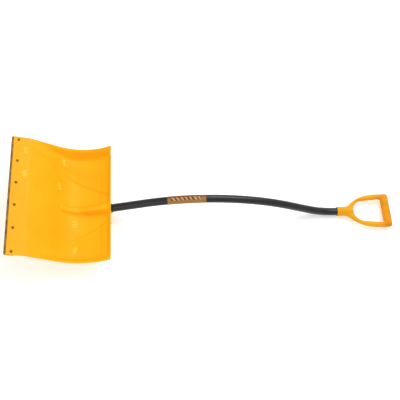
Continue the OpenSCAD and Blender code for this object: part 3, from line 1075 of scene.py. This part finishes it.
def d_grip(material):
    """D-shaped grip: one moulding with soft fillets where its members meet."""
    outer, hole = mirrored(through(GRIP_HALF)), mirrored(opening_outline())
    plate = outline_plate("grip_plate", outer, hole, GRIP_T, GRIP_ROUND)
    obj = merge("moulded_grip", [plate, hand_bar(), grip_sleeve()])
    remesh = obj.modifiers.new("remesh", "REMESH")
    remesh.mode = "VOXEL"
    remesh.voxel_size = GRIP_VOXEL
    soften = obj.modifiers.new("soften", "SMOOTH")
    soften.factor = 0.5
    soften.iterations = 8
    bake_modifiers(obj)
    raise_seam(obj)
    obj.data.transform(AT_GRIP)
    combine(obj, tube_bore(GRIP_SOCKET_DEPTH - GRIP_BOTTOM, 0.8, AT_GRIP), "DIFFERENCE")
    for cutter in screw_cutters(AT_GRIP_SCREW):
        combine(obj, cutter, "DIFFERENCE")
    return finish_piece(obj, material, sharp=40, replaces="d_grip")


# ---- scene -------------------------------------------------------------------


def dress(node, material):
    """Gives a CAD node its material."""
    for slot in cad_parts[node].material_slots:
        slot.material = material


# The camera's place in metres, its two directions and its focal length
CAMERA_AT = Vector((-0.37045, -0.93681, 2.19221))
CAMERA_RIGHT = Vector((0.9902, -0.0560, 0.1283))
CAMERA_FORWARD = Vector((0.1399, 0.4087, -0.9019))
CAMERA_LENS = 56.86


def add_camera():
    """Camera at the photograph's angle, with no shift and no depth of field."""
    data = bpy.data.cameras.new("camera")
    data.lens = CAMERA_LENS
    data.sensor_width = 36
    data.clip_end = 100
    obj = bpy.data.objects.new("camera", data)
    back = -CAMERA_FORWARD.normalized()
    up = back.cross(CAMERA_RIGHT).normalized()
    right = up.cross(back)
    obj.matrix_world = Matrix.Translation(CAMERA_AT) @ Matrix((right, up, back)).transposed().to_4x4()
    bpy.context.scene.collection.objects.link(obj)
    bpy.context.scene.camera = obj


def add_softbox(name, at, towards, size, power):
    """A square area light at one place that faces another."""
    data = bpy.data.lights.new(name, "AREA")
    data.shape = "SQUARE"
    data.size = size
    data.energy = power
    obj = bpy.data.objects.new(name, data)
    obj.location = at
    obj.rotation_euler = (Vector(towards) - Vector(at)).to_track_quat("-Z", "Y").to_euler()
    bpy.context.scene.collection.objects.link(obj)


def add_studio():
    """Even white surroundings and two large softboxes."""
    world = bpy.data.worlds.new("studio")
    world.use_nodes = True
    nodes, links = world.node_tree.nodes, world.node_tree.links
    background = nodes["Background"]
    background.inputs["Color"].default_value = (1, 1, 1, 1)
    # The backdrop itself looks white, and lights the object a little less
    strength = nodes.new("ShaderNodeMapRange")
    strength.inputs["To Min"].default_value = 0.74
    strength.inputs["To Max"].default_value = 1.0
    links.new(nodes.new("ShaderNodeLightPath").outputs["Is Camera Ray"], strength.inputs["Value"])
    links.new(strength.outputs["Result"], background.inputs["Strength"])
    bpy.context.scene.world = world
    middle = (CAD_BOUNDS[0] + CAD_BOUNDS[1]) / 2
    add_softbox("key", (0.7, 1.1, 2.4), middle, size=1.8, power=40)
    add_softbox("fill", (-1.2, -1.4, 1.6), middle, size=1.6, power=8)
    bpy.context.scene.view_settings.view_transform = "Standard"


FLOOR_REACH = 20
FLOOR_DROP = 0.0005


def add_floor():
    """A plain pale floor just below the lowest point of the shovel."""
    reach = FLOOR_REACH
    corners = [(-reach, -reach, 0), (reach, -reach, 0), (reach, reach, 0), (-reach, reach, 0)]
    mesh = bpy.data.meshes.new("floor")
    mesh.from_pydata(corners, [], [(0, 1, 2, 3)])
    floor = bpy.data.objects.new("floor", mesh)
    floor.location.z = CAD_BOUNDS[0].z - FLOOR_DROP
    paper = Paint("floor_paper")
    paper.set(Base_Color=(0.9, 0.9, 0.9, 1), Roughness=0.9, Specular_IOR_Level=0.0)
    paper.set(Emission_Color=(1, 1, 1, 1), Emission_Strength=0.3)
    mesh.materials.append(paper.material)
    bpy.context.scene.collection.objects.link(floor)


add_camera()
add_studio()
add_floor()

# The blade is scratched towards its cutting edge, and the grip's hand bar is darkened by painted shade
cut_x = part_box("blade")[0].x
bar_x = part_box("d_grip")[1].x
scratched = (cut_x + 0.12, cut_x + 0.01, "e3a013", (30, 800, 200))
# Painted shade: the grip turns a darker orange, in blotches, towards its hand bar
bar_painted_shade = (bar_x - 0.075, bar_x - 0.03, "d27c0c", (28, 28, 28))

blade(moulded_plastic("blade_plastic", "fab30a", "f6ad08", "ffc83e", (18, 700, 180), scratched))
# The marks are a paler yellow than the blade: a painted highlight on the raised bars
moulded_marks(moulded_plastic("mark_plastic_painted_highlight", "ffd44e", "fdcc40", "ffe07a", (60, 700, 180)))
d_grip(moulded_plastic("grip_plastic", "eba60e", "e09a0b", "fbbf3c", (60, 500, 300), bar_painted_shade))
wear_strip(brushed_steel("strip_steel", "8c7048", "685030", "4a3018", (500, 14, 500), 0.42))
handle_tube(enamelled_steel())
dress("handle_sleeve", printed_film())
rivets(brushed_steel("rivet_steel", "8a6632", "6a4c24", "3f2c18", (300, 300, 300), 0.4))
zinc = brushed_steel("screw_steel", "b9bcc0", "96989b", "6e6a60", (500, 90, 90), 0.3)
dress("socket_screw", zinc)
dress("grip_screw", zinc)
